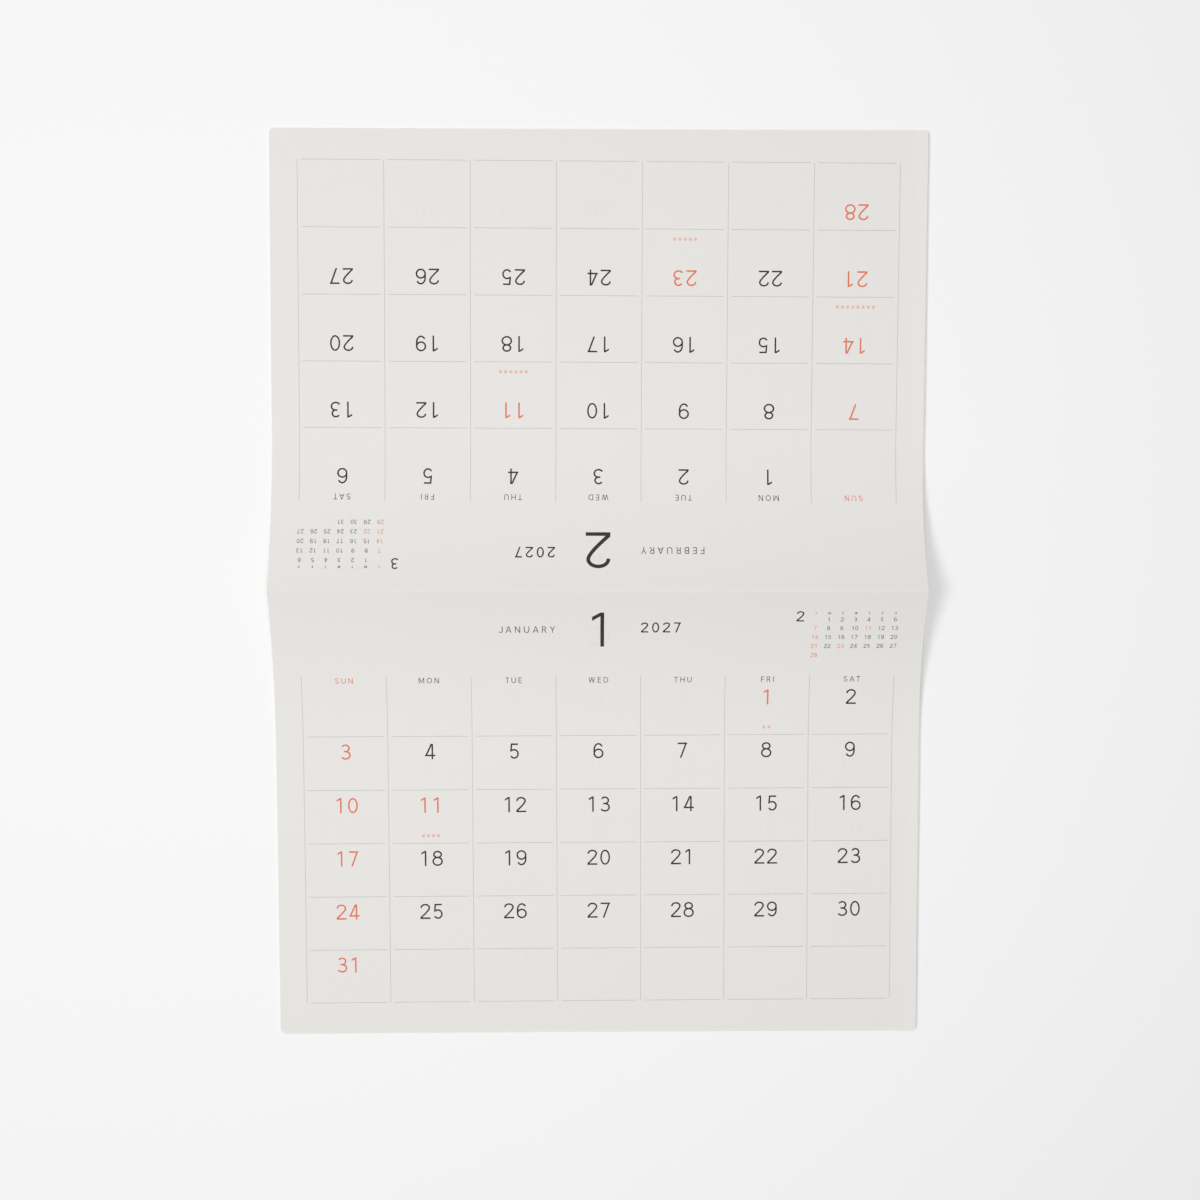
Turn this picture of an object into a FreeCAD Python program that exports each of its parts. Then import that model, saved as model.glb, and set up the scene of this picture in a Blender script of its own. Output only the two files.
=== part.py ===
import FreeCAD, Part
import math
import os

# A wall calendar of loose sheets. Each sheet carries two months, is folded across its middle,
# and is nested over the sheets below. Opened out and laid down, the stack lies flat at both ends
# and rises to a ridge at the fold. The ridge stands a little higher at the right side, which
# draws the two halves closer together there.
# The frame: X runs along the fold, Y across it towards the February edge, and Z is up.
# The origin is the centre of the stack's outline on the surface that it lies on.

os.makedirs("parts", exist_ok=True)

# One sheet of paper, in millimetres
SHEET_WIDTH = 297.0
SHEET_LENGTH = 420.0
CORNER_RADIUS = 2.0
PAPER = 0.1

# The ridge: its full height at the two sides, the inside radius of the fold, and how far from
# the fold each half comes down flat
RIDGE_LEFT = 17.5
RIDGE_RIGHT = 20.7
FOLD_RADIUS = 0.5
FEBRUARY_REACH = 71.8
JANUARY_REACH = 75.3

# How loosely the sheets lie: the air between two flat halves, the extra air under each fold at
# the two sides, how far each lower sheet slips to the right, and how far its fold is off its
# middle, which makes its January half the longer one
AIR = 0.04
FOLD_AIR_LEFT = 0.35
FOLD_AIR_RIGHT = 1.0
SIDE_SLIP = 0.2
FOLD_OFFSET = 0.09

# The sheets, from the top one to the lowest
SHEETS = [
    "sheet_jan_feb",
    "sheet_mar_apr",
    "sheet_may_jun",
    "sheet_jul_aug",
    "sheet_sep_oct",
    "sheet_nov_dec",
]

LOWEST = len(SHEETS) - 1
PITCH = PAPER + AIR
STACK = LOWEST * PITCH + PAPER

# Rough solids run this far past the sheet's sides before they are trimmed to its outline
SPARE = 2.0


class Half:
    """One half of a folded sheet, cut across the fold and drawn by its underside.

    From the fold the paper turns down on a small arc, hollows out on one large arc until it
    lies flat at the reach, and runs flat to its edge. Places are given as the distance from the
    fold and the height above the sheet's flat underside. An offset of the paper's thickness
    gives the upper face instead, because both arcs keep their centres.
    """

    def __init__(self, reach, fold_height, length):
        self.reach = reach
        self.fold_height = fold_height
        # The large arc is tangent to the flat part at the reach and to the fold's arc
        square = reach ** 2 + fold_height ** 2 - 2.0 * fold_height * FOLD_RADIUS
        self.slope_radius = square / (2.0 * fold_height)
        self.slope_angle = math.asin(reach / (self.slope_radius + FOLD_RADIUS))
        curved_length = self.slope_angle * (self.slope_radius + FOLD_RADIUS)
        self.edge = reach + length - curved_length

    def crest(self, offset):
        return 0.0, self.fold_height + offset

    def on_slope(self, offset, share):
        """A point of the large arc, where share is 0 at the foot and 1 at the fold."""
        turn = share * self.slope_angle
        radius = self.slope_radius - offset
        return self.reach - radius * math.sin(turn), self.slope_radius - radius * math.cos(turn)


class Sheet:
    """The sheet that lies under this many others, with its fold along Y = 0."""

    def __init__(self, depth):
        self.depth = depth
        self.level = (LOWEST - depth) * PITCH
        self.middle = depth * SIDE_SLIP

    def halves(self, across):
        """The January and February halves, cut at this place across the sheet."""
        left_height = RIDGE_LEFT - STACK - self.depth * FOLD_AIR_LEFT
        right_height = RIDGE_RIGHT - STACK - self.depth * FOLD_AIR_RIGHT
        rise = (right_height - left_height) / SHEET_WIDTH
        fold_height = (left_height + right_height) / 2.0 + across * rise
        half_length = SHEET_LENGTH / 2.0
        off_middle = self.depth * FOLD_OFFSET
        january = Half(JANUARY_REACH, fold_height, half_length + off_middle)
        february = Half(FEBRUARY_REACH, fold_height, half_length - off_middle)
        return january, february

    def outline_points(self):
        """The corners seen from above, round the sheet, with the fold's two ends among them.

        Each half is a rectangle that has turned by the slope of its open edge.
        """
        half_width = SHEET_WIDTH / 2.0
        january_left, february_left = self.halves(-half_width)
        january_right, february_right = self.halves(half_width)
        january_turn = (january_left.edge - january_right.edge) / SHEET_WIDTH
        february_turn = (february_right.edge - february_left.edge) / SHEET_WIDTH

        def corner(across, along, turn):
            return FreeCAD.Vector(self.middle + across - along * turn, along, 0.0)

        return [
            corner(-half_width, -january_left.edge, january_turn),
            corner(half_width, -january_right.edge, january_turn),
            corner(half_width, 0.0, 0.0),
            corner(half_width, february_right.edge, february_turn),
            corner(-half_width, february_left.edge, february_turn),
            corner(-half_width, 0.0, 0.0),
        ]

    def ridge_line(self, across, offset):
        """The points of one line of the ridge's section, from the January foot to the other."""
        january, february = self.halves(across)

        def place(side, point):
            distance, height = point
            return FreeCAD.Vector(self.middle + across, side * distance, self.level + height)

        near = [place(-1.0, january.on_slope(offset, share)) for share in (0.0, 0.5, 1.0)]
        far = [place(1.0, february.on_slope(offset, share)) for share in (1.0, 0.5, 0.0)]
        return near + [place(1.0, february.crest(offset))] + far

    def ridge_section(self, across):
        """The closed outline of the ridge's section: hollow, fold and hollow on both faces."""
        under = self.ridge_line(across, 0.0)
        over = self.ridge_line(across, PAPER)
        lower_edges = [Part.Arc(*under[first:first + 3]).toShape() for first in (0, 2, 4)]
        upper_edges = [Part.Arc(*over[first:first + 3]).toShape() for first in (0, 2, 4)]
        feet = [Part.makeLine(under[-1], over[-1]), Part.makeLine(under[0], over[0])]
        return Part.Wire(Part.__sortEdges__(lower_edges + upper_edges + feet))

    def ridge(self):
        side = SHEET_WIDTH / 2.0 + SPARE
        return Part.makeLoft([self.ridge_section(-side), self.ridge_section(side)], True, True)

    def flat_strip(self, start, end):
        """The paper that lies flat between two lines along the fold's direction."""
        corner = FreeCAD.Vector(self.middle - SHEET_WIDTH / 2.0 - SPARE, start, self.level)
        return Part.makeBox(SHEET_WIDTH + 2.0 * SPARE, end - start, PAPER, corner)

    def trim(self):
        """A tall block with the sheet's outline, with its four corners rounded."""
        points = self.outline_points()
        base = Part.Face(Part.makePolygon(points + points[:1]))
        block = base.extrude(FreeCAD.Vector(0.0, 0.0, RIDGE_LEFT + RIDGE_RIGHT))
        open_corners = [points[0], points[1], points[3], points[4]]

        def rises_from_corner(edge):
            foot = min(edge.Vertexes, key=lambda vertex: vertex.Z).Point
            upright = math.isclose(edge.BoundBox.ZLength, edge.Length)
            return upright and any(foot.isEqual(point, PAPER) for point in open_corners)

        uprights = [edge for edge in block.Edges if rises_from_corner(edge)]
        return block.makeFillet(CORNER_RADIUS, uprights)

    def solid(self):
        """The ridge and the two flat parts as one piece of paper, cut to the outline."""
        reach_end = SHEET_LENGTH / 2.0 + SPARE
        january_flat = self.flat_strip(-reach_end, -JANUARY_REACH)
        february_flat = self.flat_strip(FEBRUARY_REACH, reach_end)
        rough = self.ridge().fuse([january_flat, february_flat])
        return rough.common(self.trim()).removeSplitter().Solids[0]


def stack_middle(sheets):
    """The centre of the whole stack's outline, seen from above."""
    points = [point for sheet in sheets for point in sheet.outline_points()]
    across = [point.x for point in points]
    along = [point.y for point in points]
    return FreeCAD.Vector((min(across) + max(across)) / 2.0, (min(along) + max(along)) / 2.0, 0.0)


sheets = [Sheet(depth) for depth in range(len(SHEETS))]
middle = stack_middle(sheets)
for sheet, name in zip(sheets, SHEETS):
    paper = sheet.solid()
    paper.translate(-middle)
    paper.exportStep("parts/" + name + ".step")
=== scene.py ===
"""The looks of a wall calendar: loose folded sheets, nested, opened out and laid down flat.

Each sheet is modelled again as fine thin paper in the frame's own form, with the small waves of
real paper. The print on the top sheet is laid on it as thin solids that follow its surface.
"""

import functools
import math

import bpy
from mathutils import Matrix, Vector
from mathutils.geometry import delaunay_2d_cdt


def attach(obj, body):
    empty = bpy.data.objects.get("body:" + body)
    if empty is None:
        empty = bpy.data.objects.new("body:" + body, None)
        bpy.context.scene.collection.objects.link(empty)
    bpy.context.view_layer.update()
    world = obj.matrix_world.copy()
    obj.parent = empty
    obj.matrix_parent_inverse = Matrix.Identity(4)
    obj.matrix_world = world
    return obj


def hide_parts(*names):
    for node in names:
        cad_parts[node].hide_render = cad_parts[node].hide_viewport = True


MM = 0.001

# One sheet of paper and its fold
SHEET_WIDTH = 297.0 * MM
HALF_LENGTH = 210.0 * MM
CORNER_RADIUS = 2.0 * MM
PAPER = 0.1 * MM
FOLD_RADIUS = 0.5 * MM

# The ridge at the fold: its height at the two sides, and where each half comes down flat
RIDGE_LEFT = 17.5 * MM
RIDGE_RIGHT = 20.7 * MM
FEBRUARY_REACH = 71.8 * MM
JANUARY_REACH = 75.3 * MM

# How loosely the sheets lie: the air between two flat halves, the extra air under each fold at
# the two sides, how far each lower sheet slips to the right, and how far its fold is off its
# middle, which makes its January half the longer one
AIR = 0.04 * MM
FOLD_AIR_LEFT = 0.35 * MM
FOLD_AIR_RIGHT = 1.0 * MM
SIDE_SLIP = 0.2 * MM
FOLD_OFFSET = 0.09 * MM

# The nodes of the frame, from the top sheet to the lowest
NODES = [
    "sheet_jan_feb",
    "sheet_mar_apr",
    "sheet_may_jun",
    "sheet_jul_aug",
    "sheet_sep_oct",
    "sheet_nov_dec",
]
LOWEST = len(NODES) - 1
STACK = LOWEST * (PAPER + AIR) + PAPER

# The side of the fold that each half lies on
JANUARY = -1.0
FEBRUARY = 1.0

# The small waves of the paper: half the height of each, and for each its length per radian
# across the sheet and along it, and its phase. They grow between two distances from the fold.
WAVE_SWING = 0.06 * MM
WAVES = [(31.0 * MM, 67.0 * MM, 0.6), (-89.0 * MM, 43.0 * MM, 2.1)]
WAVES_START = 20.0 * MM
WAVES_FULL = 90.0 * MM

# The near left corner curls up over this spread, and the right side does in a narrow strip
CURLED_CORNER = Vector((-148.0 * MM, -207.5 * MM))
CORNER_LIFT = 0.7 * MM
CORNER_SPREAD = 95.0 * MM
SIDE_LIFT = 1.25 * MM
SIDE_LIFT_START = 138.0 * MM
SIDE_LIFT_FULL = 150.0 * MM

# The sheets' meshes: the steps across, down the slope and along the flat part of the top sheet
# and of the lower ones, the number of steps round the fold and round a corner, and the angle
# from which an edge looks sharp
TOP_SHEET_STEPS = (4.0 * MM, 1.8 * MM, 4.0 * MM)
LOWER_SHEET_STEPS = (12.0 * MM, 3.0 * MM, 9.0 * MM)
FOLD_STEPS = 5
CORNER_STEPS = 6
SHARP_ANGLE = math.radians(40.0)

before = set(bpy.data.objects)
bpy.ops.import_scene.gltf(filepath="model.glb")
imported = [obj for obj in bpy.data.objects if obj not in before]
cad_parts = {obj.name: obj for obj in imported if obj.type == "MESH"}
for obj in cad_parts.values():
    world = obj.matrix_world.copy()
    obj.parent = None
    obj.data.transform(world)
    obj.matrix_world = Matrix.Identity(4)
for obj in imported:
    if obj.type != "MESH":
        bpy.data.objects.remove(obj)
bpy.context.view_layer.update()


# Paper

def half_of(along):
    """The half of the sheet on which this place along it lies."""
    return FEBRUARY if along >= 0.0 else JANUARY


class Sheet:
    """A folded sheet that lies under this many others.

    A place on it is given in its own flat paper: across from the sheet's middle, and along from
    the fold, where along is below zero on the January half. Before it is moved into the frame,
    the sheet has its fold along Y = 0 and lies on Z = 0.
    """

    def __init__(self, depth):
        level = (LOWEST - depth) * (PAPER + AIR)
        self.middle = Vector((depth * SIDE_SLIP, 0.0, level))
        left_height = RIDGE_LEFT - STACK - depth * FOLD_AIR_LEFT
        right_height = RIDGE_RIGHT - STACK - depth * FOLD_AIR_RIGHT
        self.height = (left_height + right_height) / 2.0
        self.rise = (right_height - left_height) / SHEET_WIDTH
        self.reach = {JANUARY: JANUARY_REACH, FEBRUARY: FEBRUARY_REACH}
        self.length = {
            JANUARY: HALF_LENGTH + depth * FOLD_OFFSET,
            FEBRUARY: HALF_LENGTH - depth * FOLD_OFFSET,
        }
        self.turn = {side: self.half_turn(side) for side in (JANUARY, FEBRUARY)}

    def slope(self, side, across):
        """The radius and the angle of the hollow slope, and the fold's height, at this place."""
        height = self.height + across * self.rise
        reach = self.reach[side]
        square = reach ** 2 + height ** 2 - 2.0 * height * FOLD_RADIUS
        radius = square / (2.0 * height)
        return radius, math.asin(reach / (radius + FOLD_RADIUS)), height

    def section(self, side, across, length, offset):
        """How far from the fold, and how high, the sheet is at this length of paper from it."""
        radius, angle, height = self.slope(side, across)
        fold_middle = FOLD_RADIUS + PAPER / 2.0
        on_fold = angle * fold_middle
        if length < on_fold:
            turned = length / fold_middle
            reach = (FOLD_RADIUS + offset) * math.sin(turned)
            return reach, height - FOLD_RADIUS + (FOLD_RADIUS + offset) * math.cos(turned)
        left = angle - (length - on_fold) / (radius - PAPER / 2.0)
        if left > 0.0:
            bend = radius - offset
            return self.reach[side] - bend * math.sin(left), radius - bend * math.cos(left)
        return self.reach[side] + length - angle * (radius + FOLD_RADIUS), offset

    def half_turn(self, side):
        """The small angle by which the higher end of the ridge turns this half."""
        left = self.section(side, -SHEET_WIDTH / 2.0, HALF_LENGTH, 0.0)[0]
        right = self.section(side, SHEET_WIDTH / 2.0, HALF_LENGTH, 0.0)[0]
        return side * (right - left) / SHEET_WIDTH

    def place(self, across, along, offset):
        """The point at this place of the paper, this far from its underside."""
        side = half_of(along)
        before_turn = side * self.section(side, across, abs(along), offset)[0]
        across -= before_turn * self.turn[side]
        reach, height = self.section(side, across, abs(along), offset)
        return self.middle + Vector((across, side * reach, height))

    def half_width(self, along):
        """Half the width of the sheet at this place along it, less at the rounded corners."""
        past = max(0.0, abs(along) - (self.length[half_of(along)] - CORNER_RADIUS))
        inset = CORNER_RADIUS - math.sqrt(max(0.0, CORNER_RADIUS ** 2 - past ** 2))
        return SHEET_WIDTH / 2.0 - inset

    def corners(self):
        """The ends of the fold and the corners of both halves, as if they weren't rounded."""
        across = SHEET_WIDTH / 2.0
        return [
            self.place(sign * across, side * part, 0.0)
            for side in (JANUARY, FEBRUARY)
            for sign in (-1.0, 1.0)
            for part in (0.0, self.length[side])
        ]


def stack_middle(stack):
    """The middle of the whole stack's outline, seen from above, which is the frame's origin."""
    points = [point for sheet in stack for point in sheet.corners()]
    across = [point.x for point in points]
    along = [point.y for point in points]
    return Vector((min(across) + max(across), min(along) + max(along), 0.0)) / 2.0


SHEETS = [Sheet(depth) for depth in range(len(NODES))]
TOP_SHEET = SHEETS[0]
MIDDLE = stack_middle(SHEETS)


def ease(value, start, end):
    """0 before start and 1 after end, with a smooth rise between them."""
    share = min(max((value - start) / (end - start), 0.0), 1.0)
    return share * share * (3.0 - 2.0 * share)


def ripple(point):
    """How far the small waves of the paper lift every sheet at this point of the frame."""
    swings = [
        math.sin(point.x / across + point.y / along + phase)
        for across, along, phase in WAVES
    ]
    # Each wave swings up from the flat paper and never below it
    waves = WAVE_SWING * sum(swings, float(len(WAVES)))
    from_fold = ease(abs(point.y), WAVES_START, WAVES_FULL)
    from_corner = ease((point.xy - CURLED_CORNER).length, 0.0, CORNER_SPREAD)
    corner_lift = CORNER_LIFT * (1.0 - from_corner)
    side_lift = SIDE_LIFT * ease(point.x, SIDE_LIFT_START, SIDE_LIFT_FULL) * from_fold
    return waves * from_fold + corner_lift + side_lift


def lifted(sheet, across, along, offset):
    """The point in the frame of this place of the paper, waves included."""
    point = sheet.place(across, along, offset) - MIDDLE
    point.z += ripple(point)
    return point


def steps(start, end, step):
    """Even stations about a step apart from start up to end, without end itself."""
    count = max(1, round((end - start) / step))
    return [start + (end - start) * number / count for number in range(count)]


def half_stations(sheet, side, slope_step, flat_step):
    """Lengths of paper from the fold to the open edge, close together where the paper bends."""
    radius, angle, _ = sheet.slope(side, 0.0)
    on_fold = angle * FOLD_RADIUS
    curved = angle * (radius + FOLD_RADIUS)
    rounding = sheet.length[side] - CORNER_RADIUS
    stations = steps(0.0, on_fold, on_fold / FOLD_STEPS)
    stations += steps(on_fold, curved, slope_step)
    stations += steps(curved, rounding, flat_step)
    turns = [math.pi / 2.0 * step / CORNER_STEPS for step in range(CORNER_STEPS + 1)]
    return stations + [rounding + CORNER_RADIUS * math.sin(turn) for turn in turns]


def make_piece(name, points, faces, material):
    """A smooth mesh in the scene, which rides on the calendar."""
    mesh = bpy.data.meshes.new(name)
    mesh.from_pydata([point[:] for point in points], [], faces)
    mesh.validate()
    mesh.shade_smooth()
    mesh.set_sharp_from_angle(angle=SHARP_ANGLE)
    mesh.materials.append(material)
    piece = bpy.data.objects.new(name, mesh)
    bpy.context.scene.collection.objects.link(piece)
    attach(piece, "root")
    return piece


def paper_sheet(sheet, node, mesh_steps, material):
    """One sheet of paper as a closed solid of its real thickness, shown where its node was, which
    is hidden.
    """
    across_step, slope_step, flat_step = mesh_steps
    january = [-length for length in half_stations(sheet, JANUARY, slope_step, flat_step)]
    rows = january[:0:-1] + half_stations(sheet, FEBRUARY, slope_step, flat_step)
    edge = SHEET_WIDTH / 2.0
    columns = steps(-edge, edge, across_step) + [edge]
    points = []
    for offset in (PAPER, 0.0):
        for along in rows:
            limit = sheet.half_width(along)
            for across in columns:
                points.append(lifted(sheet, min(max(across, -limit), limit), along, offset))

    # The upper face, and the lower one turned over
    wide = len(columns)
    under = wide * len(rows)
    faces = []
    for row in range(len(rows) - 1):
        for column in range(wide - 1):
            corner = row * wide + column
            quad = (corner, corner + 1, corner + wide + 1, corner + wide)
            faces.append(quad)
            faces.append(tuple(under + index for index in reversed(quad)))

    # The rim, once round the outline
    rim = list(range(wide))
    rim += [row * wide + wide - 1 for row in range(1, len(rows))]
    rim += [under - wide + column for column in range(wide - 2, -1, -1)]
    rim += [row * wide for row in range(len(rows) - 2, 0, -1)]
    for here, there in zip(rim, rim[1:] + rim[:1]):
        faces.append((there, here, under + here, under + there))

    piece = make_piece(node.replace("sheet", "paper"), points, faces, material)
    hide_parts(node)


# Strokes of the print, in units of a character's height

# An arc has about this many degrees to a step and at least this many steps, and the bend of a
# two has a number of its own
ARC_STEP = 12.0
LEAST_ARC_STEPS = 4
BEND_STEPS = 8


def arc(centre, radii, start, end):
    """Points along part of an ellipse, from one angle in degrees to another."""
    count = max(LEAST_ARC_STEPS, round(abs(end - start) / ARC_STEP))
    turns = [math.radians(start + (end - start) * step / count) for step in range(count + 1)]
    return [
        (centre[0] + radii[0] * math.cos(turn), centre[1] + radii[1] * math.sin(turn))
        for turn in turns
    ]


class Pen:
    """Draws strokes of one thickness, each as a list of flat pieces that may overlap.

    Characters stand on a line at zero and are one unit tall. The middle of a stroke that runs
    along their top is at the height top, and of one along their foot at half a stroke.
    """

    def __init__(self, stroke):
        self.stroke = stroke
        self.half = stroke / 2.0
        self.top = 1.0 - self.half

    def curve(self, points, level_end=False):
        """A stroke along these points, which may be cut level at its end."""
        sides = []
        for index, (x, y) in enumerate(points):
            before = points[max(index - 1, 0)]
            after = points[min(index + 1, len(points) - 1)]
            along = Vector((after[0] - before[0], after[1] - before[1])).normalized()
            across = Vector((-along.y, along.x)) * self.half
            if level_end and index == len(points) - 1:
                across = Vector((math.copysign(self.half / abs(along.y), across.x), 0.0))
            sides.append((Vector((x, y)) + across, Vector((x, y)) - across))
        return [
            [first[0], first[1], second[1], second[0]]
            for first, second in zip(sides, sides[1:])
        ]

    def ring(self, centre, radii):
        """A closed oval stroke."""
        wide, tall = radii
        outer = arc(centre, (wide + self.half, tall + self.half), 0.0, 360.0)
        inner = arc(centre, (wide - self.half, tall - self.half), 0.0, 360.0)
        rings = zip(outer, outer[1:], inner[1:], inner)
        return [[Vector(corner) for corner in corners] for corners in rings]

    def line(self, start, end):
        """A straight stroke. A steep one is cut level at its ends, and a low one upright."""
        foot = Vector(start)
        head = Vector(end)
        run = head - foot
        if abs(run.y) > abs(run.x):
            half = Vector((self.half * run.length / abs(run.y), 0.0))
        else:
            half = Vector((0.0, self.half * run.length / abs(run.x)))
        return [[foot - half, head - half, head + half, foot + half]]

    def stem(self, across):
        """An upright stroke of the character's whole height."""
        return self.line((across, 0.0), (across, 1.0))

    def bowl(self, straight, right, top, bottom):
        """The rounded part of a letter such as B, D, P or R, from its stem and back to it."""
        centre = (straight, (top + bottom) / 2.0)
        radii = (right - self.half - straight, (top - bottom) / 2.0)
        bend = arc(centre, radii, 90.0, -90.0)
        return self.curve([(self.half, top)] + bend + [(self.half, bottom)])


def two(pen):
    """A round bowl that bends into a slope down to the left end of its foot."""
    path = arc((0.32, 0.745), (0.315 - pen.half, 0.255 - pen.half), 184.0, 0.0)
    leave = Vector(path[-1])
    bend = leave + Vector((0.0, -0.155))
    foot = Vector((0.73, 1.2)) * pen.stroke
    for step in range(1, BEND_STEPS + 1):
        share = step / BEND_STEPS
        path.append(tuple(leave.lerp(bend, share).lerp(bend.lerp(foot, share), share)))
    heel = Pen(2.0 * foot.x).line((foot.x, 0.0), foot)
    return pen.curve(path, level_end=True) + heel + pen.line((0.0, pen.half), (0.65, pen.half))


def three(pen):
    """Two open bowls that meet at a short bar."""
    half = pen.half
    bar = 0.53
    upper = arc((0.31, (pen.top + bar) / 2.0), (0.28 - half, (pen.top - bar) / 2.0), 152.0, -90.0)
    lower = arc((0.31, (half + bar) / 2.0), (0.33 - half, (bar - half) / 2.0), 90.0, -150.0)
    return pen.curve(upper) + pen.curve(lower) + pen.line((0.2, bar), (0.32, bar))


def five(pen):
    """A flag and a neck over an open bowl."""
    flag = pen.line((0.08, pen.top), (0.53, pen.top))
    neck = pen.line((0.07, 0.47), (0.11, 1.0))
    bowl = arc((0.28, 0.32), (0.3 - pen.half, 0.32 - pen.half), 126.0, -150.0)
    return flag + neck + pen.curve(bowl)


def eight(pen):
    """A smaller ring on a larger one, with one stroke where they meet."""
    half = pen.half
    waist = 0.51 + half
    upper = pen.ring((0.34, (pen.top + waist) / 2.0), (0.29 - half, (pen.top - waist) / 2.0))
    lower = pen.ring((0.34, (waist + half) / 2.0), (0.34 - half, (waist - half) / 2.0))
    return upper + lower


def nine(pen):
    """A round head with a tail that runs down its right side and round to the left."""
    half = pen.half
    hook = arc((0.325, 0.42), (0.325 - half, 0.42 - half), 0.0, -146.0)
    head = pen.ring((0.325, 0.68), (0.325 - half, 0.32 - half))
    return head + pen.curve([(0.65 - half, 0.68)] + hook)


def turned_over(pieces, width):
    """The same strokes turned by half a turn, as a six is a nine turned over."""
    return [[Vector((width - point.x, 1.0 - point.y)) for point in piece] for piece in pieces]


def figures(pen):
    """Each figure's width and its strokes, in a light plain face."""
    half = pen.half
    stroke = pen.stroke
    top = pen.top
    line = pen.line
    flag = line((0.0, 0.81), (0.32 - stroke, 1.0 - 0.58 * stroke))
    return {
        "0": (0.64, pen.ring((0.32, 0.5), (0.32 - half, 0.5 - half))),
        "1": (0.32, flag + pen.stem(0.32 - half)),
        "2": (0.65, two(pen)),
        "3": (0.64, three(pen)),
        "4": (0.66, line((0.05, 0.245 - half), (0.47 - half, 1.0)) + pen.stem(0.47)
              + line((0.0, 0.245), (0.66, 0.245))),
        "5": (0.58, five(pen)),
        "6": (0.65, turned_over(nine(pen), 0.65)),
        "7": (0.61, line((0.0, top), (0.61, top)) + line((0.19, 0.0), (0.61 - 1.07 * half, 1.0))),
        "8": (0.68, eight(pen)),
        "9": (0.65, nine(pen)),
    }


def ess(pen):
    """The letter's curve, which turns over at its middle."""
    half = pen.half
    turn = 0.51
    upper = arc((0.33, (pen.top + turn) / 2.0), (0.3 - half, (pen.top - turn) / 2.0), 28.0, 270.0)
    lower = arc((0.33, (half + turn) / 2.0), (0.33 - half, (turn - half) / 2.0), 90.0, -152.0)
    return pen.curve(upper + lower[1:])


def letters(pen):
    """Each letter's width and its strokes, in the same face."""
    half = pen.half
    top = pen.top
    line = pen.line
    stem = pen.stem
    bowl = pen.bowl
    # Half the width of a leaning stroke where it is cut level, and of one that leans further
    leaning = 1.1 * half
    slanting = 1.2 * half
    hook = arc((0.28, 0.27), (0.3 - half, 0.27 - half), 0.0, -150.0)
    cup = arc((0.38, 0.36), (0.38 - half, 0.36 - half), 180.0, 360.0)
    return {
        "A": (0.84, line((leaning, 0.0), (0.42 - 0.3 * half, 1.0))
              + line((0.84 - leaning, 0.0), (0.42 + 0.3 * half, 1.0))
              + line((0.16, 0.3), (0.68, 0.3))),
        "B": (0.64, stem(half) + bowl(0.34, 0.6, top, 0.53) + bowl(0.36, 0.64, 0.53, half)),
        "C": (0.82, pen.curve(arc((0.43, 0.5), (0.43 - half, 0.5 - half), 42.0, 318.0))),
        "D": (0.8, stem(half) + bowl(0.33, 0.8, top, half)),
        "E": (0.56, stem(half) + line((half, top), (0.56, top))
              + line((half, 0.52), (0.52, 0.52)) + line((half, half), (0.56, half))),
        "F": (0.54, stem(half) + line((half, top), (0.54, top)) + line((half, 0.5), (0.5, 0.5))),
        "H": (0.76, stem(half) + stem(0.76 - half) + line((half, 0.52), (0.76 - half, 0.52))),
        "I": (pen.stroke, stem(half)),
        "J": (0.58, pen.curve([(0.58 - half, 1.0)] + hook)),
        "L": (0.52, stem(half) + line((half, half), (0.52, half))),
        "M": (0.93, stem(half) + stem(0.93 - half) + line((slanting, 1.0), (0.465, 0.1))
              + line((0.93 - slanting, 1.0), (0.465, 0.1))),
        "N": (0.75, stem(half) + stem(0.75 - half) + line((slanting, 1.0), (0.75 - slanting, 0.0))),
        "O": (0.88, pen.ring((0.44, 0.5), (0.44 - half, 0.5 - half))),
        "P": (0.6, stem(half) + bowl(0.32, 0.6, top, 0.47)),
        "R": (0.64, stem(half) + bowl(0.32, 0.6, top, 0.48)
              + line((0.64 - leaning, 0.0), (0.33, 0.48))),
        "S": (0.66, ess(pen)),
        "T": (0.65, line((0.0, top), (0.65, top)) + stem(0.325)),
        "U": (0.76, pen.curve([(half, 1.0)] + cup + [(0.76 - half, 1.0)])),
        "W": (1.14, line((leaning, 1.0), (0.31, 0.0)) + line((0.31, 0.0), (0.57, 1.0))
              + line((0.57, 1.0), (0.83, 0.0)) + line((0.83, 0.0), (1.14 - leaning, 1.0))),
        "Y": (0.74, line((leaning, 1.0), (0.37, 0.42)) + line((0.74 - leaning, 1.0), (0.37, 0.42))
              + line((0.37, 0.0), (0.37, 0.46))),
    }


# Print

WEEKDAYS = ["SUN", "MON", "TUE", "WED", "THU", "FRI", "SAT"]
WEEK = len(WEEKDAYS)
SUNDAY = 0
MIDDLE_DAY = WEEK // 2

# Distances on a page, across from its middle line and down from the fold. The grid stands a
# little to one side, the opposite one on each page.
COLUMN = 38.884 * MM
GRID_SHIFT = 0.17 * MM
GRID_BOTTOM = 196.17 * MM
GRID_HEIGHT = 150.1 * MM
GRID_TOP = GRID_BOTTOM - GRID_HEIGHT
LINES_TOP = 42.6 * MM
WEEKDAY_DEPTH = 44.6 * MM

# The heading: the depth of the numeral's middle, how far from the middle line the name ends and
# the year starts, and the depth of the line that both stand on
NUMERAL_DEPTH = 19.7 * MM
HEADING_GAP = 19.5 * MM
HEADING_BASE = 21.3 * MM

# For a month of this many weeks, how far a date's middle lies below its row's top, and how far
# the middle of a note lies above its row's foot
ROW_PLACES = {5: (8.1 * MM, 4.45 * MM), 6: (7.1 * MM, 3.55 * MM)}

# The lines of the grid: their thickness, and how far the level ones end from the upright ones
LINE = 0.24 * MM
LINE_GAP = 1.7 * MM

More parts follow.
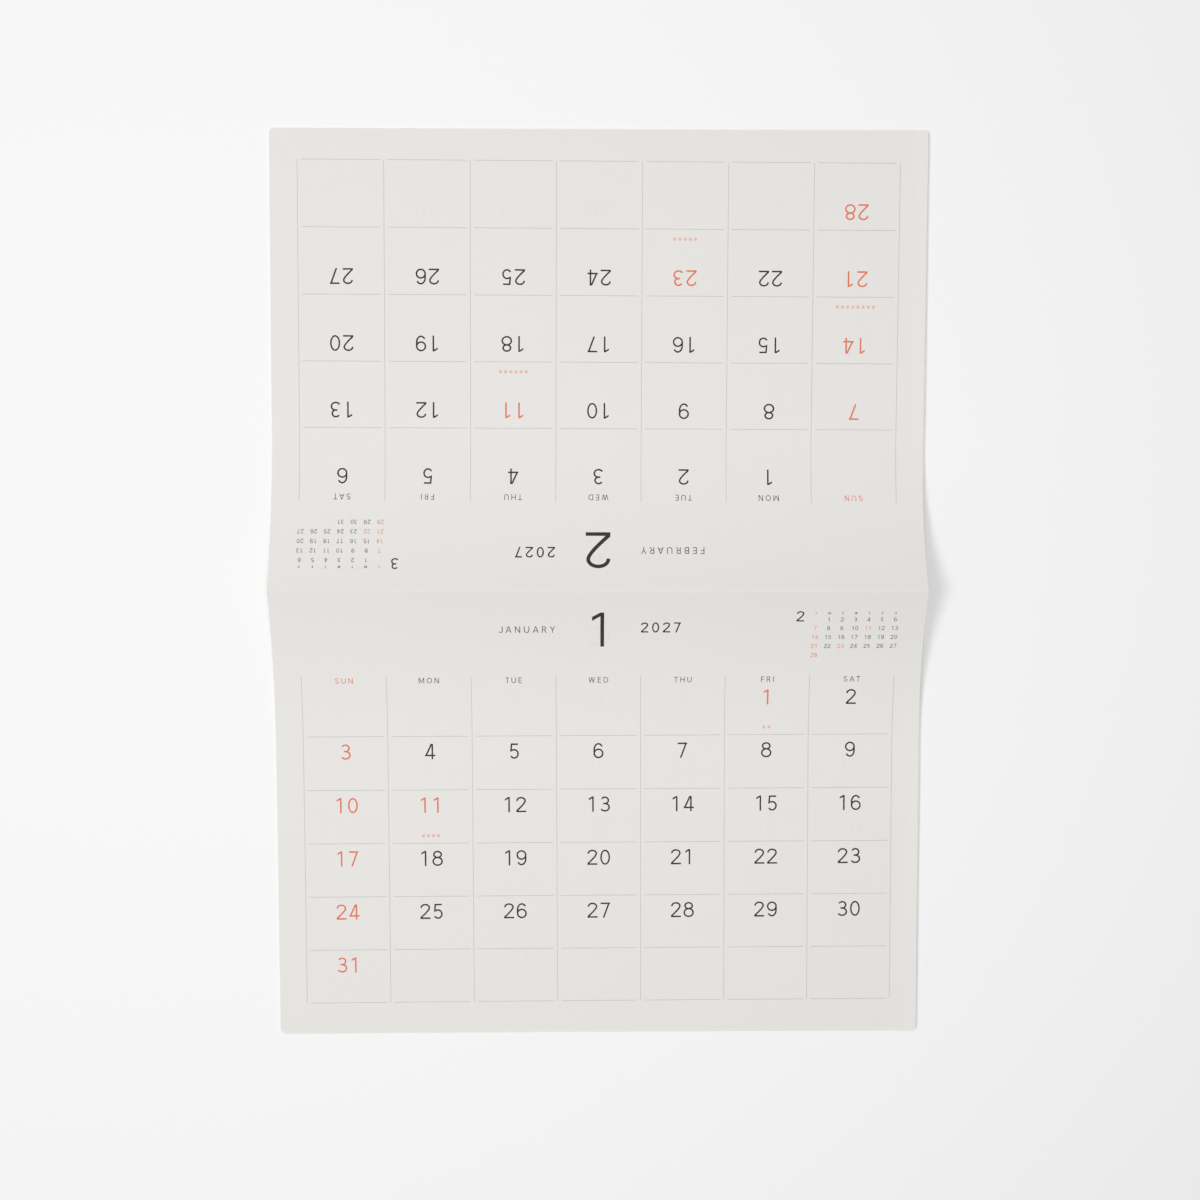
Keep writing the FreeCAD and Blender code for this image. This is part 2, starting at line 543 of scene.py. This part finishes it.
# The next month in small figures: its first column, its steps, and the depth of its dates and
# weekdays, with the place of its numeral
SMALL_FIRST = 98.75 * MM
SMALL_COLUMN = 6.02 * MM
SMALL_ROW = 4.5 * MM
SMALL_DATE_DEPTH = 14.85 * MM
SMALL_WEEKDAY_DEPTH = 11.6 * MM
SMALL_NUMERAL_PLACE = (91.7 * MM, 13.2 * MM)

# Height and stroke of each kind of character
DATE = (7.15 * MM, 0.72 * MM)
WEEKDAY = (2.65 * MM, 0.31 * MM)
NUMERAL = (17.2 * MM, 1.7 * MM)
NAME = (3.2 * MM, 0.365 * MM)
YEAR = (5.1 * MM, 0.64 * MM)
SMALL_NUMERAL = (5.3 * MM, 0.62 * MM)
SMALL_DATE = (2.0 * MM, 0.22 * MM)
SMALL_WEEKDAY = (1.2 * MM, 0.18 * MM)

# The figures of a date stand with their middles this far apart, in units of their height, and a
# one stands a little to the left of its place
FIGURE_STEP = 0.83
ONE_SHIFT = -0.06

# Spaces between the characters of a word, in units of their height. Letters with open sides
# stand closer to their neighbours by a little for each such side.
WEEKDAY_SPACE = 0.46
NAME_SPACE = 0.54
YEAR_SPACE = 0.33
OPEN_SIDED = "AJTY"
OPEN_SIDE = 0.06

# The squares of a note: their side and their step
NOTE_SQUARE = 1.3 * MM
NOTE_STEP = 2.35 * MM

# Longest step along print that has to follow the bent paper
PRINT_STEP = 1.5 * MM

# The level cuts of a character run past both its sides, and points of a shape that are closer
# than this become one, in the shape's own units
CUT_START = -0.5
CUT_END = 1.5
SAME_POINT = 0.0001

# How far ink stands above the paper, also where it shows faintly through it, and how far all
# print is sunk in the paper
INK = 0.02 * MM
INK_BELOW = 0.01 * MM
INK_SUNK = 0.03 * MM

# The pieces of print, each with its finish and its height above the paper
PRINT_PIECES = {
    "numerals": ("black_ink", INK),
    "dates": ("dark_ink", INK),
    "names": ("grey_ink", INK),
    "red_days": ("red_ink", INK),
    "grid_lines": ("line_ink", INK),
    "day_notes": ("pale_red_ink", INK),
    "print_below": ("seen_through", INK_BELOW),
}


class Month:
    """A month's number, name, length, first weekday, red days and the notes under some days.

    Weekdays count from Sunday, which is 0. A note is given by the number of its squares.
    """

    def __init__(self, number, name, days, first, red_days, notes):
        self.number = number
        self.name = name
        self.days = days
        self.first = first
        self.red_days = red_days
        self.notes = notes
        self.weeks = math.ceil((first + days) / WEEK)

    def places(self):
        """Each day with its column and its row."""
        for day in range(1, self.days + 1):
            cell = self.first + day - 1
            yield day, cell % WEEK, cell // WEEK

    def is_red(self, day, column):
        return column == SUNDAY or day in self.red_days


YEAR_NUMBER = "2027"
MONTHS = [
    Month(1, "JANUARY", days=31, first=5, red_days=(1, 11), notes={1: 2, 11: 4}),
    Month(2, "FEBRUARY", days=28, first=1, red_days=(11, 23), notes={11: 6, 14: 8, 23: 5}),
    Month(3, "MARCH", days=31, first=1, red_days=(22,), notes={}),
    Month(4, "APRIL", days=30, first=4, red_days=(29,), notes={}),
]


class Ink:
    """Print in one finish on the top sheet: flat shapes that become one piece of thin solids."""

    def __init__(self, name, thickness, material):
        self.name = name
        self.thickness = thickness
        self.material = material
        self.places = []
        self.triangles = []

    def add(self, shape, page, across, depth, scale):
        """Puts a shape on a page, with its own zero at this distance across and down from the fold.

        The page is the half of the sheet that it is on, and each page is read from its open edge.
        """
        places, triangles = shape
        first = len(self.places)
        for place in places:
            right = across + place.x * scale
            down = depth - place.y * scale
            self.places.append((right * -page, down * page))
        self.triangles += [tuple(first + index for index in triangle) for triangle in triangles]

    def make(self):
        """Raises the shapes into thin closed solids whose feet are sunk in the paper."""
        top = PAPER + self.thickness
        foot = PAPER - INK_SUNK
        points = [lifted(TOP_SHEET, across, along, top) for across, along in self.places]
        points += [lifted(TOP_SHEET, across, along, foot) for across, along in self.places]
        under = len(self.places)
        edges = set()
        for a, b, c in self.triangles:
            edges.update(((a, b), (b, c), (c, a)))
        faces = list(self.triangles)
        faces += [(under + c, under + b, under + a) for a, b, c in self.triangles]
        # An edge that no other triangle shares is on the outline, and has a wall under it
        outline = sorted(edge for edge in edges if (edge[1], edge[0]) not in edges)
        faces += [(b, a, under + a, under + b) for a, b in outline]
        make_piece(self.name, points, faces, self.material)


def leftward(piece):
    """The same outline, run so that its inside lies on the left."""
    sides = zip(piece, piece[1:] + piece[:1])
    double_area = sum(here.x * there.y - there.x * here.y for here, there in sides)
    return piece if double_area > 0.0 else piece[::-1]


def one_shape(pieces, cuts=0):
    """Overlapping flat pieces as one set of triangles.

    A character is cut by this many level lines, so that it can bend with the paper.
    """
    points = []
    faces = []
    for piece in pieces:
        faces.append(list(range(len(points), len(points) + len(piece))))
        points += leftward(piece)
    edges = []
    for number in range(cuts):
        level = (number + 1) / (cuts + 1)
        edges.append((len(points), len(points) + 1))
        points += [Vector((CUT_START, level)), Vector((CUT_END, level))]
    places, _, triangles, _, _, sources = delaunay_2d_cdt(points, edges, faces, 0, SAME_POINT)
    inked = [triangle for triangle, source in zip(triangles, sources) if source]
    return places, inked


@functools.cache
def character(letter, size):
    """The width and the flat shape of a character in one of the sizes above."""
    height, stroke = size
    pen = Pen(stroke / height)
    width, pieces = (figures(pen) | letters(pen))[letter]
    return width, one_shape(pieces, int(height / PRINT_STEP))


def write(ink, page, text, size, across, depth, space=0.0, anchor=0.5):
    """Writes a word. The anchor is the share of its width that lies left of across."""
    height = size[0]
    glyphs = [character(letter, size) for letter in text]
    gaps = [
        space - OPEN_SIDE * sum(letter in OPEN_SIDED for letter in pair)
        for pair in zip(text, text[1:])
    ]
    width = sum(glyph[0] for glyph in glyphs) + sum(gaps)
    left = across - anchor * width * height
    for (glyph_width, shape), gap in zip(glyphs, gaps + [0.0]):
        ink.add(shape, page, left, depth + height / 2.0, height)
        left += (glyph_width + gap) * height


def write_date(ink, page, day, size, across, depth):
    """Writes a number with its figures evenly spaced about the column's middle."""
    height = size[0]
    text = str(day)
    step = FIGURE_STEP * height
    first = across - step * (len(text) - 1) / 2.0
    for index, figure in enumerate(text):
        width, shape = character(figure, size)
        shift = ONE_SHIFT if figure == "1" else 0.0
        left = first + index * step + (shift - width / 2.0) * height
        ink.add(shape, page, left, depth + height / 2.0, height)


def rule(ink, page, start, end):
    """A thin line between two places of a page, in short steps that follow the paper.

    Its shape is made in millimetres, so that no two of its points are taken for the same.
    """
    run = Vector(end) - Vector(start)
    count = math.ceil(run.length / PRINT_STEP)
    points = [tuple((Vector(start) + run * step / count) / MM) for step in range(count + 1)]
    ink.add(one_shape(Pen(LINE / MM).curve(points)), page, 0.0, 0.0, MM)


def column_middle(column, page):
    """How far across the page the middle of a column of the grid is."""
    return (column - MIDDLE_DAY) * COLUMN - GRID_SHIFT * page


def grid(ink, page, rows):
    """The lines between the days, which stop short of each other and leave the first row open."""
    left = column_middle(-0.5, page)
    for number in range(WEEK + 1):
        across = left + number * COLUMN
        rule(ink, page, (across, -LINES_TOP), (across, -GRID_BOTTOM))
    for row in range(rows):
        depth = GRID_BOTTOM - row * GRID_HEIGHT / rows
        for column in range(WEEK):
            start = left + column * COLUMN + LINE_GAP
            rule(ink, page, (start, -depth), (start + COLUMN - 2.0 * LINE_GAP, -depth))


def note(ink, page, count, across, depth):
    """A short row of small plain squares, where a note stands under a day."""
    corners = [Vector((-0.5, -0.5)), Vector((0.5, -0.5)), Vector((0.5, 0.5)), Vector((-0.5, 0.5))]
    square = one_shape([corners])
    for index in range(count):
        place = across + (index - (count - 1) / 2.0) * NOTE_STEP
        ink.add(square, page, place, depth, NOTE_SQUARE)


def small_month(inks, page, month):
    """The next month in small figures, at the upper right of a page."""
    dark = inks["dates"]
    red = inks["red_days"]
    write(dark, page, str(month.number), SMALL_NUMERAL, *SMALL_NUMERAL_PLACE)
    for column, name in enumerate(WEEKDAYS):
        ink = red if column == SUNDAY else dark
        across = SMALL_FIRST + column * SMALL_COLUMN
        write(ink, page, name[0], SMALL_WEEKDAY, across, SMALL_WEEKDAY_DEPTH)
    for day, column, row in month.places():
        ink = red if month.is_red(day, column) else dark
        across = SMALL_FIRST + column * SMALL_COLUMN
        write_date(ink, page, day, SMALL_DATE, across, SMALL_DATE_DEPTH + row * SMALL_ROW)


def month_heading(inks, page, month):
    """The month's numeral in the middle, its name at the left and the year at the right."""
    name_depth = HEADING_BASE - NAME[0] / 2.0
    year_depth = HEADING_BASE - YEAR[0] / 2.0
    write(inks["numerals"], page, str(month.number), NUMERAL, 0.0, NUMERAL_DEPTH)
    write(inks["names"], page, month.name, NAME, -HEADING_GAP, name_depth, NAME_SPACE, anchor=1.0)
    write(inks["dates"], page, YEAR_NUMBER, YEAR, HEADING_GAP, year_depth, YEAR_SPACE, anchor=0.0)


def month_page(inks, page, month, next_month):
    """All the print of one month. The page is the half of the sheet that it stands on."""
    grid(inks["grid_lines"], page, month.weeks)
    for column, name in enumerate(WEEKDAYS):
        ink = inks["red_days"] if column == SUNDAY else inks["names"]
        write(ink, page, name, WEEKDAY, column_middle(column, page), WEEKDAY_DEPTH, WEEKDAY_SPACE)
    date_drop, note_rise = ROW_PLACES[month.weeks]
    row_height = GRID_HEIGHT / month.weeks
    for day, column, row in month.places():
        ink = inks["red_days"] if month.is_red(day, column) else inks["dates"]
        across = column_middle(column, page)
        write_date(ink, page, day, DATE, across, GRID_TOP + row * row_height + date_drop)
        if day in month.notes:
            depth = GRID_TOP + (row + 1) * row_height - note_rise
            note(inks["day_notes"], page, month.notes[day], across, depth)
    month_heading(inks, page, month)
    small_month(inks, page, next_month)


def page_below(ink, page, month):
    """The numeral and the dates of the next sheet, which show faintly through the paper."""
    date_drop, _ = ROW_PLACES[month.weeks]
    row_height = GRID_HEIGHT / month.weeks
    for day, column, row in month.places():
        depth = GRID_TOP + row * row_height + date_drop
        write_date(ink, page, day, DATE, column_middle(column, page), depth)
    write(ink, page, str(month.number), NUMERAL, 0.0, NUMERAL_DEPTH)


# Finishes

# Each finish's colour as it looks on a screen, its roughness, and how much the clouds and the
# fibres of the paper's grain vary its tone
FINISHES = {
    "paper": ((230, 228, 225), 0.85, 0.012, 0.02),
    "black_ink": ((44, 42, 42), 0.7, 0.1, 0.25),
    "dark_ink": ((38, 36, 35), 0.7, 0.1, 0.25),
    "grey_ink": ((84, 82, 82), 0.75, 0.1, 0.25),
    "red_ink": ((224, 118, 84), 0.75, 0.1, 0.2),
    "pale_red_ink": ((231, 185, 172), 0.75, 0.1, 0.2),
    "line_ink": ((188, 187, 187), 0.8, 0.05, 0.1),
    "seen_through": ((228, 226, 224), 0.85, 0.012, 0.02),
}

# All finishes are matt, and the grain stands out by this share of this depth
SPECULAR_LEVEL = 0.25
RELIEF = 0.3
RELIEF_DEPTH = 0.02 * MM

# The size of the grain's clouds and fibres, how many finer layers each has, and how strong
# those layers are
CLOUD_SIZE = 9.0 * MM
CLOUD_DETAIL = 3.0
FIBRE_SIZE = 0.35 * MM
FIBRE_DETAIL = 4.0
LAYER_STRENGTH = 0.6


def new_group(name, inputs, outputs):
    """An empty node group with number inputs and their defaults, and its two end nodes."""
    group = bpy.data.node_groups.new(name, "ShaderNodeTree")
    for socket, default in inputs.items():
        made = group.interface.new_socket(socket, in_out="INPUT", socket_type="NodeSocketFloat")
        made.default_value = default
    for socket in outputs:
        group.interface.new_socket(socket, in_out="OUTPUT", socket_type="NodeSocketFloat")
    return group, group.nodes.new("NodeGroupInput"), group.nodes.new("NodeGroupOutput")


def math_node(tree, operation, *values):
    """The result of a sum on numbers and on other nodes' outputs."""
    node = tree.nodes.new("ShaderNodeMath")
    node.operation = operation
    for socket, value in zip(node.inputs, values):
        if isinstance(value, float):
            socket.default_value = value
        else:
            tree.links.new(value, socket)
    return node.outputs["Value"]


def noise(tree, coordinates, size, detail):
    """Soft noise with grains of this size."""
    node = tree.nodes.new("ShaderNodeTexNoise")
    node.inputs["Scale"].default_value = 1.0 / size
    node.inputs["Detail"].default_value = detail
    node.inputs["Roughness"].default_value = LAYER_STRENGTH
    tree.links.new(coordinates, node.inputs["Vector"])
    return node.outputs["Fac"]


def paper_grain_group():
    """The fibres and the cloudy formation of uncoated paper, as a tone and as a height."""
    _, _, cloud_share, fibre_share = FINISHES["paper"]
    inputs = {"Cloud": cloud_share, "Fibre": fibre_share}
    group, given, result = new_group("paper_grain", inputs, ["Tone", "Height"])
    place = group.nodes.new("ShaderNodeTexCoord").outputs["Object"]
    cloud = noise(group, place, CLOUD_SIZE, CLOUD_DETAIL)
    fibre = noise(group, place, FIBRE_SIZE, FIBRE_DETAIL)

    def variation(field, share):
        return math_node(group, "MULTIPLY", math_node(group, "SUBTRACT", field, 0.5), share)

    cloud_tone = variation(cloud, given.outputs["Cloud"])
    fibre_tone = variation(fibre, given.outputs["Fibre"])
    tone = math_node(group, "ADD", math_node(group, "ADD", cloud_tone, fibre_tone), 1.0)
    group.links.new(tone, result.inputs["Tone"])
    group.links.new(fibre, result.inputs["Height"])
    return group


def screen_colour(red, green, blue):
    """A colour given as it looks on a screen, from 0 to 255, by the standard screen curve."""
    def linear(value):
        value /= 255.0
        return value / 12.92 if value <= 0.04045 else ((value + 0.055) / 1.055) ** 2.4
    return linear(red), linear(green), linear(blue), 1.0


def finish(name, grain, colour, roughness, cloud, fibre):
    """A matt surface: a colour varied by the paper's grain, and the grain's small relief."""
    material = bpy.data.materials.new(name)
    material.use_nodes = True
    tree = material.node_tree
    shader = tree.nodes["Principled BSDF"]
    shader.inputs["Roughness"].default_value = roughness
    shader.inputs["Specular IOR Level"].default_value = SPECULAR_LEVEL
    grain_node = tree.nodes.new("ShaderNodeGroup")
    grain_node.node_tree = grain
    grain_node.inputs["Cloud"].default_value = cloud
    grain_node.inputs["Fibre"].default_value = fibre
    tint = tree.nodes.new("ShaderNodeMix")
    tint.data_type = "RGBA"
    tint.blend_type = "MULTIPLY"
    tint.inputs["Factor"].default_value = 1.0
    colour_in, tone_in = (socket for socket in tint.inputs if socket.type == "RGBA")
    colour_in.default_value = screen_colour(*colour)
    tree.links.new(grain_node.outputs["Tone"], tone_in)
    colour_out = next(socket for socket in tint.outputs if socket.type == "RGBA")
    tree.links.new(colour_out, shader.inputs["Base Color"])
    bump = tree.nodes.new("ShaderNodeBump")
    bump.inputs["Strength"].default_value = RELIEF
    bump.inputs["Distance"].default_value = RELIEF_DEPTH
    tree.links.new(grain_node.outputs["Height"], bump.inputs["Height"])
    tree.links.new(bump.outputs["Normal"], shader.inputs["Normal"])
    return material


# Studio

# The floor: how far it runs each way, how far it lies below the paper, its colour and roughness,
# and the distances from the calendar between which it turns white for the camera
FLOOR_REACH = 4.0
FLOOR_DROP = 0.02 * MM
FLOOR_COLOUR = (247, 247, 247)
FLOOR_ROUGHNESS = 0.9
WHITE_START = 0.42
WHITE_FULL = 1.0

# The strength of the even light from all round, and its colour
SKY_STRENGTH = 0.21
WHITE = (1.0, 1.0, 1.0, 1.0)

# The camera: its lens and film in millimetres, the nearest distance that it sees, its turns in
# radians, and where the point that it is set over stands before it
LENS = 49.915
FILM_WIDTH = 36.0
NEAREST = 0.01
TILT = 0.0728
LEAN = 0.0166
TWIST = -0.0005
TARGET_IN_VIEW = Vector((-1.11, 5.36, -764.558)) * MM


def fade_to_white(tree, shader):
    """Far from the calendar, the floor looks as white as what is above it."""
    place = tree.nodes.new("ShaderNodeTexCoord").outputs["Object"]
    distance = tree.nodes.new("ShaderNodeVectorMath")
    distance.operation = "LENGTH"
    tree.links.new(place, distance.inputs[0])
    fade = tree.nodes.new("ShaderNodeMapRange")
    fade.interpolation_type = "SMOOTHSTEP"
    fade.inputs["From Min"].default_value = WHITE_START
    fade.inputs["From Max"].default_value = WHITE_FULL
    tree.links.new(distance.outputs["Value"], fade.inputs["Value"])
    path = tree.nodes.new("ShaderNodeLightPath")
    seen = math_node(tree, "MULTIPLY", fade.outputs["Result"], path.outputs["Is Camera Ray"])
    white = tree.nodes.new("ShaderNodeEmission")
    mix = tree.nodes.new("ShaderNodeMixShader")
    tree.links.new(seen, mix.inputs["Fac"])
    tree.links.new(shader.outputs["BSDF"], mix.inputs[1])
    tree.links.new(white.outputs["Emission"], mix.inputs[2])
    tree.links.new(mix.outputs["Shader"], tree.nodes["Material Output"].inputs["Surface"])


def pale_floor():
    """A large flat floor just under the lowest sheet."""
    mesh = bpy.data.meshes.new("floor")
    signs = [(-1.0, -1.0), (1.0, -1.0), (1.0, 1.0), (-1.0, 1.0)]
    corners = [(x * FLOOR_REACH, y * FLOOR_REACH, 0.0) for x, y in signs]
    mesh.from_pydata(corners, [], [(0, 1, 2, 3)])
    floor = bpy.data.objects.new("floor", mesh)
    floor.location.z = -FLOOR_DROP
    bpy.context.scene.collection.objects.link(floor)
    material = bpy.data.materials.new("pale_floor")
    material.use_nodes = True
    shader = material.node_tree.nodes["Principled BSDF"]
    shader.inputs["Base Color"].default_value = screen_colour(*FLOOR_COLOUR)
    shader.inputs["Roughness"].default_value = FLOOR_ROUGHNESS
    shader.inputs["Specular IOR Level"].default_value = 0.0
    fade_to_white(material.node_tree, shader)
    mesh.materials.append(material)


def soft_light(name, direction, distance, size, power):
    """A large soft lamp that shines on the middle of the calendar from this direction."""
    lamp = bpy.data.lights.new(name, "AREA")
    lamp.shape = "DISK"
    lamp.size = size
    lamp.energy = power
    light = bpy.data.objects.new(name, lamp)
    light.location = direction.normalized() * distance
    light.rotation_euler = direction.to_track_quat("Z", "Y").to_euler()
    bpy.context.scene.collection.objects.link(light)


def sky(strength):
    """Even light from all round. What sees it directly sees plain white."""
    world = bpy.data.worlds.new("studio")
    world.use_nodes = True
    bpy.context.scene.world = world
    tree = world.node_tree
    path = tree.nodes.new("ShaderNodeLightPath")
    seen = math_node(tree, "MAXIMUM", path.outputs["Is Camera Ray"], path.outputs["Is Glossy Ray"])
    seen = math_node(tree, "MAXIMUM", seen, path.outputs["Is Transmission Ray"])
    level = math_node(tree, "MULTIPLY_ADD", seen, 1.0 - strength, strength)
    background = tree.nodes["Background"]
    background.inputs["Color"].default_value = WHITE
    tree.links.new(level, background.inputs["Strength"])


def camera_over(target):
    """The photograph's view of the calendar, from nearly straight above this point."""
    tilt = Matrix.Rotation(TILT, 4, "X")
    lean = Matrix.Rotation(LEAN, 4, "Y")
    twist = Matrix.Rotation(TWIST, 4, "Z")
    camera_data = bpy.data.cameras.new("camera")
    camera_data.lens = LENS
    camera_data.sensor_width = FILM_WIDTH
    camera_data.clip_start = NEAREST
    camera = bpy.data.objects.new("camera", camera_data)
    seen_from = Matrix.Translation(TARGET_IN_VIEW) @ tilt @ lean @ twist
    to_view = seen_from @ Matrix.Translation(-target)
    camera.matrix_world = to_view.inverted()
    bpy.context.scene.collection.objects.link(camera)
    bpy.context.scene.camera = camera


# The calendar in its studio

grain = paper_grain_group()
finishes = {name: finish(name, grain, *values) for name, values in FINISHES.items()}

for sheet, node in zip(SHEETS, NODES):
    mesh_steps = TOP_SHEET_STEPS if sheet is TOP_SHEET else LOWER_SHEET_STEPS
    paper_sheet(sheet, node, mesh_steps, finishes["paper"])

inks = {
    name: Ink(name, thickness, finishes[kind])
    for name, (kind, thickness) in PRINT_PIECES.items()
}
# Under each page lies the page of the month after the next one
for month, page in enumerate((JANUARY, FEBRUARY)):
    month_page(inks, page, MONTHS[month], MONTHS[month + 1])
    page_below(inks["print_below"], page, MONTHS[month + 2])
for ink in inks.values():
    ink.make()

pale_floor()
sky(SKY_STRENGTH)
soft_light("side_lamp", Vector((-0.5, 0.01, 0.87)), distance=2.5, size=0.9, power=20.5)
soft_light("top_lamp", Vector((0.005, 0.045, 1.0)), distance=1.6, size=0.6, power=13.3)
camera_over(Vector((0.0, 0.0, STACK)) - MIDDLE)
bpy.context.scene.view_settings.view_transform = "Standard"
